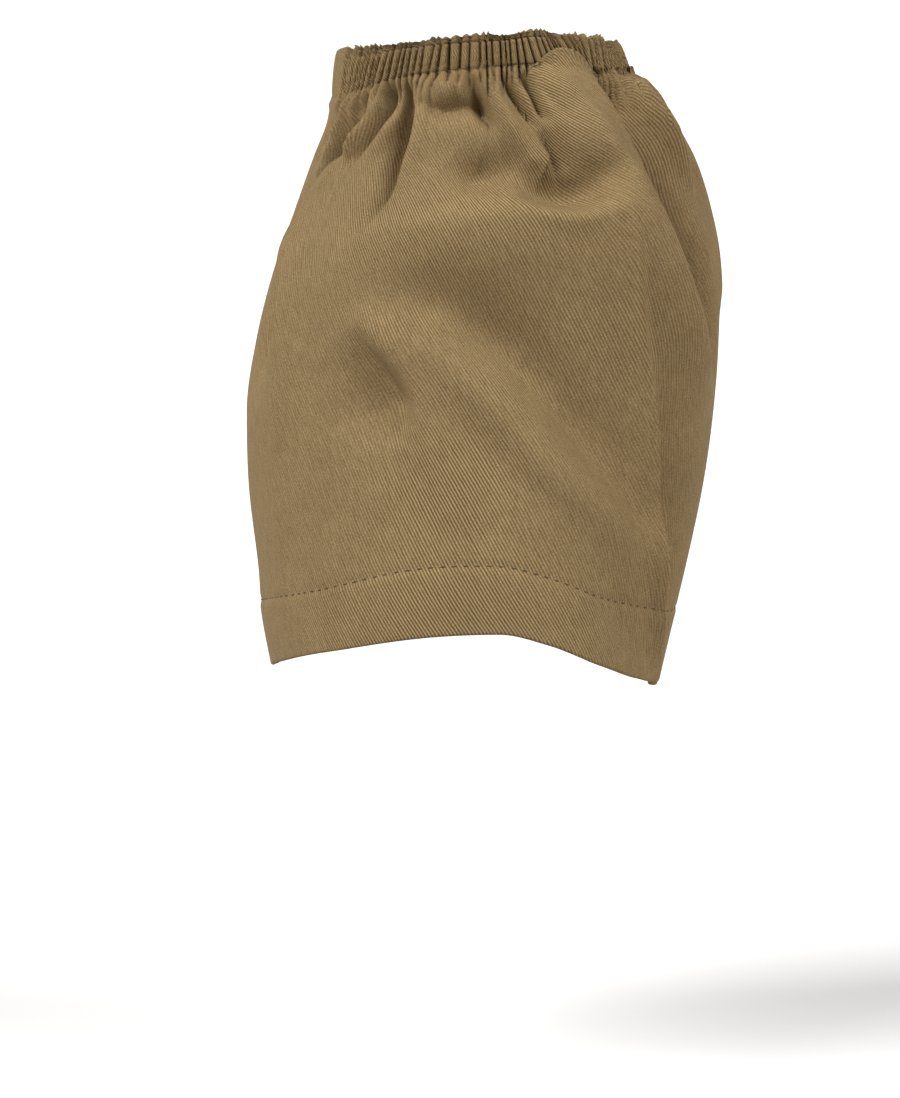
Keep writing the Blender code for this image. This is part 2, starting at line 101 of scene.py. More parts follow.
# Folds and hollows. Each follows a curve through its points, and spreads this far to the left and right of
# one that runs down, or below and above one that runs to the right. It stands out, or lies in below 0, by
# these heights along it. Crisp 2 is a soft roll, and 1 a pressed crease.
FOLDS = [
    # (turn, drop) of its points, left, right, heights, crisp
    # the swollen front right, and the valley behind its edge
    (((27, 0.06), (32, 0.11), (37, 0.18), (44, 0.28), (51, 0.38), (57, 0.44), (67, 0.5)),
     11, 4.4, (2, 5.5, 7, 5, 5, 3.5, 0.4), 2),
    (((46, 0.02), (51, 0.12), (57, 0.22), (62.5, 0.33), (70, 0.45)), 3.4, 7.5, (-4, -10, -19, -21, -6), 2),
    (((84, 0.04), (86, 0.18), (90, 0.34)), 7, 8, (0.5, 2.5, 1.5), 2),
    (((58, 0), (64, 0.08), (72, 0.17)), 2.6, 2.6, (2.4, 5.5, 1.8), 2),
    (((66, 0), (72, 0.08), (81, 0.18)), 1.5, 2, (-3, -5, -1), 1.6),
    (((76, 0), (79, 0.05), (84, 0.1)), 1.4, 1.8, (-2, -3, -0.6), 1.5),
    # gathers on the left
    (((-62, 0), (-62, 0.025), (-68, 0.062), (-75, 0.115)), 3, 1.3, (-4, -10, -9.5, -2), 1.5),
    (((-53, 0.01), (-54, 0.04), (-60, 0.09), (-66, 0.15)), 1.8, 1.8, (1, 2.6, 2.6, 1), 2),
    (((-44.5, 0.01), (-44.5, 0.05), (-49.5, 0.082), (-57.5, 0.108), (-63, 0.16), (-66, 0.24)),
     2.5, 1.1, (-5, -12, -12.5, -10, -4.5, -0.8), 1.5),
    (((-38, 0.02), (-39, 0.06), (-45, 0.1), (-53, 0.15)), 2, 2, (1.2, 3, 2.4, 0.8), 2),
    (((-33, 0), (-32.5, 0.035), (-34, 0.06), (-37, 0.095), (-42, 0.125)),
     2.8, 1.2, (-5, -12.5, -12.5, -8, -2), 1.5),
    (((-27.5, 0.02), (-27, 0.055), (-29, 0.09), (-33, 0.13)), 1.6, 1.6, (1.4, 3.2, 2.4, 0.8), 2),
    (((-26, 0), (-25, 0.04), (-23.3, 0.075), (-23, 0.105), (-24, 0.145), (-25.5, 0.2), (-29, 0.245),
      (-35, 0.285)), 2.9, 1.3, (-4, -9, -12.5, -13, -8.5, -4, -2.2, -0.6), 1.5),
    (((-52, 0.105), (-47, 0.12), (-42, 0.125)), 3, 3, (-1, -2.2, -1), 2),
    (((-20.5, 0.05), (-19, 0.08), (-19.5, 0.12), (-22.5, 0.17)), 1.6, 3, (0.8, 2, 1.8, 0.6), 2),
    # hollows and gathers across the middle
    (((-18, 0.05), (-11, 0.061), (-3, 0.056)), 3, 1, (-1.2, -3.4, -2.2), 1.6),
    (((-16, 0.028), (-9, 0.036), (-4, 0.032)), 2.4, 2.4, (1.2, 3, 1.6), 2),
    (((-3.5, 0), (-2, 0.03), (-0.5, 0.055), (1, 0.075), (3.5, 0.105)),
     1.8, 1.1, (-2.5, -5.5, -7, -5.5, -1), 1.6),
    (((2, 0.01), (4, 0.05), (8, 0.1), (13, 0.16)), 2.6, 2.2, (1, 2.8, 2.8, 1.6), 2),
    (((6, 0.012), (9, 0.043), (12, 0.075), (14.5, 0.1)), 1, 1.2, (-2, -5, -5, -1.5), 1.4),
    (((12, 0.005), (15.5, 0.04), (17, 0.072), (18.5, 0.09)), 1.2, 1.4, (-3, -6, -5, -1.5), 1.5),
    (((15.5, 0.103), (17.5, 0.128), (19.5, 0.152), (20, 0.18)), 1.3, 4, (-1.5, -4.5, -5, -1.5), 1.7),
    (((18, 0.02), (20, 0.05), (23, 0.085)), 1.6, 1.9, (-1, -2.5, -1), 1.6),
    (((8, 0.19), (15, 0.222), (22, 0.218), (30, 0.185), (35, 0.145)), 3.6, 7, (-1.5, -6, -8, -6, -2), 2),
    (((5, 0.21), (10, 0.238), (20, 0.262), (30, 0.235)), 3, 3.4, (0.5, 1.2, 1.5, 0.8), 2),
    (((-9, 0.148), (-1, 0.186), (6, 0.172)), 4.5, 6.5, (-2, -6, -3), 2),
    (((-34, 0.285), (0, 0.272), (32, 0.26)), 18, 6, (1.5, 4.6, 4), 2),
    # the left side: a soft roll, and the hollow behind it
    (((-68, 0.17), (-68, 0.24), (-66, 0.32), (-64, 0.4), (-64, 0.5)), 6, 2.2, (-2, -7, -9, -6, -1), 1.9),
    (((-60, 0.17), (-61, 0.25), (-57, 0.32), (-53, 0.41), (-51, 0.54), (-51, 0.68), (-53, 0.86)),
     2.4, 8, (1.2, 3.4, 4, 3.4, 2.4, 1.6, 0.8), 1.9),
    # drag lines down the front: the hollow under the gathers, and two rolls that fan out from the left
    (((-27, 0.383), (-18, 0.392), (-7, 0.422), (4, 0.488), (14, 0.552), (25, 0.637), (36, 0.723)),
     5.5, 10, (-0.8, -2.4, -3, -3.6, -4.6, -5, -3), 2),
    (((-10, 0.44), (4, 0.5), (18, 0.6)), 8, 22, (-1.5, -3.4, -2.6), 2),
    (((-24, 0.44), (-11, 0.495), (-3, 0.555), (6, 0.63), (12, 0.69), (18, 0.73), (27, 0.765), (37, 0.8)),
     6.5, 8, (1.2, 2.4, 2.8, 3, 3, 2.8, 2, 0.8), 2),
    (((-9, 0.555), (-2, 0.638), (6, 0.708), (16, 0.752), (27, 0.78)), 5, 5, (-0.3, -0.8, -1, -0.8, -0.3), 2),
    (((-30, 0.43), (-25.5, 0.48), (-21.5, 0.527), (-18.5, 0.565), (-17.5, 0.6), (-18, 0.66)),
     13, 2.8, (-0.8, -3.4, -5.6, -6.2, -4.4, -0.6), 2),
    (((-28, 0.435), (-22, 0.485), (-17.5, 0.53), (-14, 0.575), (-11, 0.66), (-7, 0.78)),
     2.2, 5, (0.8, 1.8, 2.2, 2, 1.6, 0.6), 2),
    # the fold down the lower right
    (((31, 0.2), (33.5, 0.3), (35.5, 0.43), (38, 0.55), (40, 0.71), (43.5, 0.88), (50, 0.96), (58, 1)),
     2.8, 2, (0.8, 2, 3, 4.2, 4.8, 3.8, 2.2, 0.9), 1.7),
    (((43.5, 0.52), (45.5, 0.62), (47.5, 0.73), (50, 0.85), (57, 0.95)), 2.6, 12, (-2, -6, -9, -8, -3), 1.8),
    (((26, 0.86), (31, 0.92), (38, 0.98)), 6, 6, (-0.8, -1.6, -1), 2),
    # the back
    (((112, 0.02), (108, 0.12), (106, 0.22)), 3.6, 3, (-4.7, -8.1, -2.7), 1.6),
    (((121, 0.02), (121, 0.07), (124, 0.13)), 2, 2, (-3.4, -4.3, -1.1), 1.5),
    (((130, 0), (133, 0.09), (138, 0.17)), 1.8, 3.6, (-4, -8.1, -2), 1.4),
    (((150, 0.14), (157, 0.2), (166, 0.19)), 5, 8, (-2.4, -6.8, -2.7), 2),
    (((154, 0), (151, 0.07), (149, 0.13)), 2.2, 2.4, (-3.5, -6.8, -1.9), 1.4),
    (((163, 0.05), (166, 0.1), (166, 0.16)), 3.4, 3.4, (1.4, 3, 1.4), 2),
    (((178, 0), (181, 0.09), (188, 0.19)), 2.2, 3.4, (-3.4, -7.4, -2), 1.4),
    (((202, 0), (199, 0.08), (194, 0.16)), 2.4, 2.2, (-3.5, -6.8, -1.9), 1.4),
    (((204, 0.18), (212, 0.235), (222, 0.2)), 5, 8, (-2, -6.8, -2.7), 2),
    (((214, 0.02), (213, 0.06), (211, 0.11)), 1.8, 2, (-2.7, -4.3, -1.1), 1.5),
    (((226, 0), (229, 0.11), (234, 0.2)), 2.4, 3.4, (-4, -8.1, -2.2), 1.4),
    (((248, 0.02), (250, 0.14), (253, 0.26)), 3.6, 3, (-4, -6.8, -1.9), 1.5),
    (((262, 0.02), (261, 0.08), (262, 0.15)), 2, 2, (-2.7, -4.3, -1.1), 1.5),
    (((146, 0.28), (180, 0.285), (214, 0.29)), 13, 6, (1.1, 2.7, 1.4), 2),
    (((138, 0.38), (158, 0.42), (176, 0.52), (192, 0.62), (212, 0.7)),
     5.5, 11, (-2, -4.6, -4.6, -4.2, -1.9), 2),
    (((140, 0.44), (160, 0.49), (178, 0.62), (196, 0.72), (216, 0.79)), 5.7, 5, (1.1, 3.2, 3, 2.8, 0.8), 1.8),
    (((152, 0.58), (170, 0.67), (186, 0.82)), 6, 5, (-1, -2.4, -1.2), 2),
    (((218, 0.42), (224, 0.54), (228, 0.68)), 9, 8, (-1.6, -4.3, -1.6), 2),
    (((114, 0.34), (112, 0.56), (120, 0.84)), 6, 4, (1.1, 3.2, 1.6), 1.8),
    (((124, 0.46), (123, 0.64), (129, 0.84)), 5, 8, (-1.4, -3.5, -1.4), 2),
    (((238, 0.6), (242, 0.78), (234, 0.97)), 5, 3.6, (1.1, 3, 2.2), 1.7),
]

# The puff: at the front right, cloth is pushed up from its seam over the casing's lower part
PUFF_TURN = 26
PUFF_DRIFT = 60  # of its middle, in degrees for each drop
PUFF_LEFT = 11.2  # its reach to each side, in degrees
PUFF_RIGHT = 16
PUFF_WIDENS = 30  # of its reach, in degrees for each drop
PUFF_FLANK = 2.4  # 2 is gentle, and 4 is steep
PUFF_LIFT = 10.8
PUFF_START = 0.8  # of cloth below the seam
PUFF_CLIMB = 5.4
PUFF_HOLD = 8
PUFF_FADE = 32
PUFF_OUT = 2.2  # of its crest from the seam
PUFF_SWELL = 2  # of the cloth that comes down in front
PUFF_SMOOTH = 0.8  # share of the pleats that it pulls out
SEAM_EASE = 3.6  # of cloth below the seam, over which the folds open

# Gathers at the casing
PLEATS = 114
PLEAT_SEED = 7
PLEAT_RELIEF = 2.4  # crest above valley on the casing
PLEAT_GROOVE = 0.095  # of a pleat's width
PLEAT_ROUND = 0.45  # of the relief, as the crest's roundness
PLEAT_LEVEL = 0.66  # of the relief, at the plain surface
PLEAT_POWER = 1.5  # of a groove's side, and of a pleat's fading
PLEAT_SPREAD = 0.45  # of the pleats' widths, each way
PLEAT_DEPTH = (0.55, 1.3)  # least and most, of the relief
PLEAT_SLANT = 0.55  # the most, in pleats, over the casing's height
SLANT_BELOW = 6  # the seam, where the pleats stop slanting
GROOVE_WIDENS = 0.012  # in a millimetre down the panel
GROOVE_WIDEST = 8  # below the seam
FLAT_SPOT = (-90.0, -66.0)  # turns where the casing is not gathered
PLEAT_TOP = 12  # above the seam, where they stop leaning
FLAT_EDGE = 3.2  # degrees over which its edges roll in
FLAT_FADE = 8  # degrees over which the gathers below it fade
FLAT_CALM = 0.8  # share of them that fades
GATHERED = 360 - (FLAT_SPOT[1] - FLAT_SPOT[0])
SEAM_TUCK = 2  # of the panels, up behind the casing's edge
TUCK_IN = 0.7  # and inwards
SEAM_BULGE = 1  # of the cloth just below the casing seam
BULGE_RISE = 2.2  # of cloth, to its crest
BULGE_FALL = 7

# Shares of the way round from the flat spot, and the pleats' widths there beside the mean
PLEAT_WIDTHS = ((0, 0.12, 0.25, 0.4, 1), (1.15, 0.95, 0.8, 0.8, 1.08))
# How far the pleats run down the panel, and the share of them that do
PLEAT_LENGTHS = ((3, 4.5, 7, 10, 14), (0.25, 0.3, 0.2, 0.15, 0.1))
PLEAT_LENGTH_SPREAD = (0.8, 1.25)
PLEAT_DRIFTS = [
    # turn, degrees that a pleat leans to the right in a millimetre up the casing
    (-180, 0), (-75, 0.1), (-58, 0.42), (-46, 0.5), (-20, 0.2), (0, 0), (15, -0.25), (27, -0.7),
    (36, -0.35), (46, 0.15), (70, 0), (180, 0),
]

# The casing's outer face, from its lower outer edge over the top and down its inner side
CASING_SECTION = [
    # share of the pleats' relief, out from the panels' top edge, height as a share of half the casing's
    (0.6, -2, -0.9), (0.9, -0.5, -1.03), (0.95, -0.1, -1.02), (1, 0.12, -0.94), (1, 0.28, -0.72),
    (1, 0.2, -0.38), (1, 0.02, 0.02), (1, -0.17, 0.42), (0.95, -0.42, 0.74), (0.9, -0.7, 0.93),
    (0.85, -1.05, 1.02), (0.8, -1.6, 0.94), (0.7, -2.35, 0.8), (0.55, -3.2, 0.62), (0.4, -3.9, 0.38),
    (0.4, -4.1, 0.2), (0.4, -4.05, -0.3), (0.4, -3.9, -0.75), (0.4, -3.6, -1),
]
CASING_INSIDE = -1.9  # where its inner side starts
CASING_ROWS = 37
CASING_COLUMNS = 1920
CASING_FACE_ROW = 24  # the row halfway up its outer side
CASING_INSET_LEFT = 0.9  # further in on the left
CASING_INSET_RIGHT = 1.3
CASING_LEAN = 2.2  # of its right side, inwards over its height
CASING_FLARE = 1.2  # of its lower edge, out towards the puff
CASING_CRESTS = 0.5  # of a pleat's relief, up at the upper edge
CASING_BUMPS = 1.3  # of its upper edge, up and down
CASING_SCALLOP = 0.6  # of its lower edge, down at each crest
CASING_UNEVEN = 0.4  # of it, from pleat to pleat
UNEVEN_SHIFT = 3  # pleats between the upper edge's chances and the lower's
EDGE_POWER = 4  # how closely all these keep to the edges
PEAK_BLUR = 0.7  # pleats
CASING_CLOTH = 0.5
ELASTIC_OUT = -3.08  # from the panels' top edge
ELASTIC_HEIGHT = 5
ELASTIC_THICKNESS = 0.6
ELASTIC_EDGE = 0.2  # over which its edges narrow
ELASTIC_STEPS = 240

# Hem stitching
STITCH_ROWS = [
    # turn, height of the stitch line above the hem edge
    (-180, 17.5), (-64, 17.4), (-38, 16.8), (-10, 18.6), (5, 18), (24, 17), (60, 17.3), (180, 17.5),
]
STITCH_PITCH = 3
STITCH_LENGTH = 2.15
STITCH_RADIUS = 0.19
STITCH_END = 0.55  # of the radius, at its ends
STITCH_SUNK = 0.26  # of its ends, into the cloth
STITCH_ARCH = 0.36  # of its middle, up from its ends
STITCH_SHIFT = 0.12  # the most, along the line
STITCH_VARIES = (0.94, 1.06)  # of its length
STITCH_SEGMENTS = 6
STITCH_SIDES = 7
STITCH_SIDE = 0.17  # of the yarn's pattern on it
LINE_START = 0.4  # of the first stitch
LINE_TRIM = 0.8  # degrees from a side seam to the line's end
LINE_DROP = 0.88  # of the line at the side seams
LINE_STEPS = 3000
STITCH_DIP = 0.28  # of the cloth along the line
STITCH_DIP_WIDTH = 0.9
HEM_PROUD = 0.25  # of the doubled cloth below the line
HEM_STEP = 1.5  # of cloth
PUCKER_HEIGHT = 0.16
PUCKER_REACH = 5  # above and below the line
PUCKER_WAVES = 47  # round the hem
PUCKER_SHIFTS = (1.4, 9)  # how far they shift, in how many waves
PUCKER_SWELLS = 13  # of their height round the hem

# Twill
RIB_PITCH = 0.74
RIB_SLOPE = 67  # of the ribs, from the weft
RIB_STRENGTH = 0.42

# Where the weave leans, because the cloth is pulled askew
LEANS = [
    # turn, drop, reach in turns, reach in drops, degrees that the weave is turned against the clock
    (34, 0.15, 14, 0.11, 34), (58, 0.1, 14, 0.16, 20), (-52, 0.16, 16, 0.12, -14),
    (8, 0.09, 6, 0.05, 10), (-6, 1, 60, 0.12, 10), (-6, 0.72, 20, 0.12, 4),
    (150, 0.16, 18, 0.12, -12), (215, 0.14, 18, 0.12, 12),
]

# How clearly the ribs show, in their bump and in their painted highlight and shade: clearer in the places
# listed, as painted glints where the light catches them
CLEAR_PLAIN = 0.22
CLEAR_CASING = 0.75
CLEARER_RIBS_AND_PAINTED_GLINTS = [
    # turn, drop, reach in turns, reach in drops, how much clearer
    (20, 0.11, 12, 0.09, 0.9), (-12, 0.26, 24, 0.11, 0.6), (14, 0.27, 16, 0.05, 0.35),
    (-38, 0.18, 16, 0.1, 0.25), (26, 0.44, 20, 0.1, 0.35), (-20, 0.44, 12, 0.04, 0.4),
    (0, 0.56, 16, 0.03, 0.3), (-6, 0.74, 14, 0.12, 1), (-6, 0.95, 26, 0.09, 1),
    (58, 0.1, 12, 0.12, 0.4), (170, 0.3, 34, 0.12, 0.6), (190, 0.76, 24, 0.14, 0.8),
    (205, 0.95, 30, 0.09, 0.8),
]

# Meshes
PANEL_COLUMNS = 558
PANEL_SHOWN = 149.25  # of cloth, from the seam to where the hem edge folds over
PANEL_ROWS = ((0, 20), (9, 41), (46, 55), (128, 24))  # cloth from the seam, rows from there
ROW_STEPS = 1400  # along a row, to measure it
ROW_WINDOW = 110.0  # of these steps: narrower folds take up their own cloth
ROW_SKIP = 3  # rows from one that is measured to the next
ROW_BLUR = 1.6  # of the measured rows, to keep the columns smooth
HEM_FOLD_STEPS = 9
HEM_ROWS = 25
HEM_COLUMNS = 300
HEM_TRIM = 0.004  # of a panel's width, left off the turned-up layer at each end
INNER_STEP = 3  # rows or columns of the outer face for each of the inner
SEAM_ROLL = 0.9  # of the cloth at a side seam, inwards
SEAM_ROLL_WIDTH = 1.8
HALF_TURN = 0.5  # to each side of a place, to find its slopes
HALF_DROP = 0.004


# ------ curves
def smooth(at, knots, values):
    """A smooth curve through the knots, which doesn't overshoot them."""
    knots, values = np.asarray(knots, float), np.asarray(values, float)
    steps = np.diff(knots)
    slopes = np.diff(values) / steps
    tangents = np.concatenate([slopes[:1], (slopes[1:] + slopes[:-1]) / 2, slopes[-1:]])
    turning = np.concatenate([[False], slopes[1:] * slopes[:-1] <= 0, [False]])
    tangents[turning] = 0.0
    at = np.clip(at, knots[0], knots[-1])
    k = np.clip(np.searchsorted(knots, at, side="right") - 1, 0, len(steps) - 1)
    f, h = (at - knots[k]) / steps[k], steps[k]
    return (
        values[k] * (1 + 2 * f) * (1 - f) ** 2
        + tangents[k] * h * f * (1 - f) ** 2
        + values[k + 1] * f**2 * (3 - 2 * f)
        - tangents[k + 1] * h * f**2 * (1 - f)
    )


def column(table, at, which):
    """One column of a table, at this value of its first column."""
    rows = np.array(table)
    return smooth(at, rows[:, 0], rows[:, which])


def ease(distance, over):
    """0 at 0 and 1 past over, smoothly."""
    share = np.clip(distance / over, 0, 1)
    return share * share * (3 - 2 * share)


def fading(distance, reach, power=2):
    """1 at 0, dying away to nothing past its reach."""
    return np.exp(-((distance / reach) ** power))


def wrapped(turn):
    """The same turn, from -180 to 180."""
    return (turn + 180.0) % 360.0 - 180.0


def across(one, other):
    """From this turn to the other, the short way round."""
    return wrapped(other - one)


# ------ the worn form
def seam_turns(side, drop):
    """The turns of a panel's two side seams."""
    left, right = column(SEAMS, drop, 1), column(SEAMS, drop, 2)
    return (left, right) if side == "front" else (right, left + 360.0)


def outline(turn, drop):
    """Where the smooth form is at this turn and drop, as x and y."""
    a = np.radians(turn)
    side, ahead = np.sin(a), np.cos(a)
    values = [column(SECTIONS, drop, k) for k in range(1, 8)]
    left, right, front, back, left_forward, right_forward, power = values
    wide = np.where(side > 0, right, left)
    long = np.where(ahead > 0, front, back)
    forward = np.where(side > 0, right_forward, left_forward)
    reach = (np.abs(side / wide) ** power + np.abs(ahead / long) ** power) ** (-1 / power)
    x = reach * side
    return x, -reach * ahead - forward * (x / wide) ** 2


def form(turn, drop):
    """The smooth form, without folds."""
    turn = wrapped(turn)
    x, y = outline(turn, drop)
    z = column(RING, turn, 1) * (1 - drop) + column(HEM_HEIGHTS, turn, 1) * drop
    return np.stack([x, y, z], axis=-1)


def unit(vectors):
    """The same vectors with a length of 1."""
    return vectors / np.maximum(np.linalg.norm(vectors, axis=-1, keepdims=True), 1e-9)


def outward(turn, drop):
    """The unit normal of the smooth form."""
    sideways = form(turn + HALF_TURN, drop) - form(turn - HALF_TURN, drop)
    low, high = np.clip(drop - HALF_DROP, 0, 1), np.clip(drop + HALF_DROP, 0, 1)
    return unit(np.cross(form(turn, high) - form(turn, low), sideways))


def curve_points(points):
    """(turn, drop) along a smooth curve through the points, and how many points along each is."""
    knots = np.arange(len(points))
    along = np.linspace(0, knots[-1], CURVE_STEPS * knots[-1] + 1)
    turns, drops = np.array(points, float).T
    return np.stack([smooth(along, knots, turns), smooth(along, knots, drops)], axis=-1), along


def fold_heights(turn, drop):
    """How far all the folds together stand out of the form."""
    total = np.zeros_like(turn)
    rate = column(CLOTH_PER_TURN, drop, 1)
    for through, left, right, heights, crisp in FOLDS:
        points, along = curve_points(through)
        reach = FOLD_REACH * max(left, right)
        sideways = np.ptp(points[:, 0]) / 2 + reach / LEAST_CLOTH
        near = np.abs(across(points[:, 0].mean(), turn)) < sideways
        near &= drop > points[:, 1].min() - reach / CLOTH_PER_DROP
        near &= drop < points[:, 1].max() + reach / CLOTH_PER_DROP
        if not near.any():
            continue
        turns, drops, rates = turn[near], drop[near], rate[near]
        nearest = np.full(turns.shape, np.inf)
        side = np.ones_like(turns)
        place = np.zeros_like(turns)
        for k in range(len(points) - 1):
            run_x = across(points[k, 0], points[k + 1, 0]) * rates
            run_y = (points[k + 1, 1] - points[k, 1]) * CLOTH_PER_DROP
            x, y = across(points[k, 0], turns) * rates, (drops - points[k, 1]) * CLOTH_PER_DROP
            share = np.clip((x * run_x + y * run_y) / (run_x**2 + run_y**2), 0, 1)
            x, y = x - share * run_x, y - share * run_y
            away = np.hypot(x, y)
            closer = away < nearest
            nearest = np.where(closer, away, nearest)
            turned = (x * run_y - y * run_x) / np.maximum(away * np.hypot(run_x, run_y), 1e-6)
            side = np.where(closer, turned, side)
            place = np.where(closer, along[k] + share * (along[k + 1] - along[k]), place)
        width = left + (right - left) * (0.5 + 0.5 * np.clip(side, -1, 1))
        height = smooth(place, np.arange(len(heights)), heights)
        total[near] += height * fading(nearest, width, crisp)
    return total


def make_pleats():
    """The pleats' valleys round the ring: their turns, depths, runs down the panel, and slants."""
    rng = np.random.default_rng(PLEAT_SEED)
    steps = 1 + PLEAT_SPREAD * rng.uniform(-1, 1, PLEATS)
    middle = np.cumsum(steps) / steps.sum()
    steps *= np.interp(middle, *PLEAT_WIDTHS)
    turns = FLAT_SPOT[1] + GATHERED * (np.cumsum(steps) - steps[0] / 2) / steps.sum()
    depths = rng.uniform(*PLEAT_DEPTH, PLEATS)
    lengths, shares = PLEAT_LENGTHS
    runs = rng.choice(lengths, PLEATS, p=shares) * rng.uniform(*PLEAT_LENGTH_SPREAD, PLEATS)
    slants = rng.uniform(-PLEAT_SLANT, PLEAT_SLANT, PLEATS)
    return turns, depths, runs, slants


PLEAT_TURNS, PLEAT_DEPTHS, PLEAT_RUNS, PLEAT_SLANTS = make_pleats()


def nearest_pleat(turn, up):
    """The nearest pleat valley, this far up the casing or down the panel from their seam: how far it is, from
    0 in the valley to 0.5 on a crest, and its index."""
    turn = turn - column(PLEAT_DRIFTS, wrapped(turn), 1) * np.clip(up, 0, PLEAT_TOP)
    span = across(FLAT_SPOT[1], turn) % 360.0
    knots = np.concatenate([[0.0], PLEAT_TURNS - FLAT_SPOT[1], [GATHERED]])
    count = np.arange(PLEATS + 2)
    phase = np.interp(span, knots, count)
    slide = np.interp(phase, count, np.concatenate([[0], PLEAT_SLANTS, [0]]))
    phase = phase + slide * np.clip(up, -SLANT_BELOW, PLEAT_TOP) / PLEAT_TOP
    index = np.clip(np.round(phase).astype(int) - 1, 0, PLEATS - 1)
    away = np.abs(phase - np.round(phase))
    flat = np.minimum(span - GATHERED, 360.0 - span) / FLAT_EDGE
    return np.where(span > GATHERED, np.clip(flat, 0, 0.5), away), index


def pleat_shape(away, groove):
    """A pleat's height, from 0 in its valley to 1 on its crest."""
    side = 1 - fading(away, groove, PLEAT_POWER)
    return (1 - PLEAT_ROUND) * side + PLEAT_ROUND * np.sin(np.pi * away)


def gather_heights(turn, below):
    """The small pleats that run on from the casing into the panel, below the seam."""
    away, index = nearest_pleat(turn, -below)
    fade = fading(below, PLEAT_RUNS[index], PLEAT_POWER)
    shape = pleat_shape(away, PLEAT_GROOVE + GROOVE_WIDENS * np.minimum(below, GROOVE_WIDEST))
    pleat = PLEAT_RELIEF * PLEAT_DEPTHS[index] * fade * (shape - PLEAT_LEVEL)
    bulge = SEAM_BULGE * (ease(below, BULGE_RISE) - ease(below - BULGE_RISE, BULGE_FALL)) * shape
    return (pleat + bulge) * gathered_share(turn)


def gathered_share(turn):
    """1 where the cloth below the ring is gathered, and little under its flat spot."""
    inside = np.minimum(across(FLAT_SPOT[0] - FLAT_FADE, turn), across(turn, FLAT_SPOT[1]))
    return 1 - FLAT_CALM * ease(inside, FLAT_FADE)


def stitch_line(turn):
    """The hem's stitch line, as a drop."""
    return 1 - column(STITCH_ROWS, turn, 1) / CLOTH_PER_DROP


def hem_heights(turn, drop):
    """The stitch line's dip and puckers, and the doubled cloth below it."""
    turn = wrapped(turn)
    above = (stitch_line(turn) - drop) * CLOTH_PER_DROP
    dip = -STITCH_DIP * fading(above, STITCH_DIP_WIDTH)
    a = np.radians(turn)
    shift, shifts = PUCKER_SHIFTS
    pucker = np.sin(a * PUCKER_WAVES + shift * np.sin(a * shifts)) * np.sin(a * PUCKER_SWELLS + 1)
    pucker = PUCKER_HEIGHT * pucker * fading(above, PUCKER_REACH)
    return dip + pucker + HEM_PROUD * ease(-above, HEM_STEP)


def puff_reach(turn, drop):
    """1 in the middle of the puff and 0 past its sides."""
    away = across(PUFF_TURN + PUFF_DRIFT * drop, turn)
    reach = np.where(away < 0, PUFF_LEFT, PUFF_RIGHT) + PUFF_WIDENS * drop
    return fading(np.abs(away), reach, PUFF_FLANK)


def cloth(turn, drop, pleated=True):
    """The outer face of the panels, with or without the small pleats at the seam."""
    below = drop * CLOTH_PER_DROP
    around = puff_reach(turn, drop)
    climb = ease(below - PUFF_START, PUFF_CLIMB)
    fade = fading(np.maximum(below - PUFF_HOLD, 0), PUFF_FADE)
    drawn = drop - PUFF_LIFT * around * climb * fade / CLOTH_PER_DROP
    place = np.maximum(drawn, 0)
    height = fold_heights(turn, place) * ease(place * CLOTH_PER_DROP, SEAM_EASE) + hem_heights(turn, drop)
    if pleated:
        height = height + gather_heights(turn, below) * (1 - PUFF_SMOOTH * around * climb)
    points = form(turn, place) + outward(turn, place) * height[..., None]
    points[..., 2] += np.maximum(-drawn, 0) * CLOTH_PER_DROP
    swell = PUFF_OUT * climb**2 + PUFF_SWELL * ease(below - PUFF_CLIMB, PUFF_HOLD)
    a = np.radians(turn)
    points[..., 0] += around * fade * swell * np.sin(a)
    points[..., 1] -= around * fade * swell * np.cos(a)
    return points


# ------ panels
def in_places(table, turns, drops):
    """The total, at these turns and drops, of a table of values that each fade from a place."""
    total = np.zeros_like(turns)
    for turn, drop, reach, depth, value in table:
        total += value * fading(across(turn, turns), reach) * fading(drops - drop, depth)
    return total


def panel_drops():
    """Rows down to where the hem edge folds over, closest at the gathers."""
    ends = [start for start, _ in PANEL_ROWS[1:]] + [PANEL_SHOWN]
    rows = [np.linspace(start, end, count, endpoint=False) for (start, count), end in zip(PANEL_ROWS, ends)]
    return np.concatenate([*rows, [PANEL_SHOWN]]) / CLOTH_PER_DROP


def panel_turns(side, drops):
    """Turns of each row's points, evenly spaced along its small folds but not along its large ones."""
    start, end = seam_turns(side, drops)
    shares = np.linspace(0, 1, ROW_STEPS + 1)
    even = np.linspace(0, 1, PANEL_COLUMNS + 1)
    measured = np.arange(0, len(drops), ROW_SKIP)
    rows = []
    for k in measured:
        turn = start[k] + (end[k] - start[k]) * shares
        points = cloth(turn, np.full_like(turn, drops[k]))
        rate = np.linalg.norm(np.gradient(points, axis=0), axis=1)
        local = rate / blur(rate, ROW_WINDOW)
        length = np.concatenate([[0], np.cumsum((local[1:] + local[:-1]) / 2)])
        rows.append(np.interp(even, length / length[-1], shares))
    every = np.arange(len(drops))
    full = np.array([np.interp(every, measured, line) for line in blur(np.array(rows), ROW_BLUR).T]).T
    return start[:, None] + (end - start)[:, None] * full


def grid_normals(points):
    """The unit normals of a grid of points, facing out."""
    down = np.gradient(points, axis=0)
    right = np.gradient(points, axis=1)
    return unit(np.cross(down, right))


def grid_lengths(points, axis):
    """The length to each point of a grid, down its columns (axis 0) or along its rows (axis 1)."""
    steps = np.linalg.norm(np.diff(points, axis=axis), axis=-1)
    return np.pad(np.cumsum(steps, axis=axis), [(1 - axis, 0), (axis, 0)])


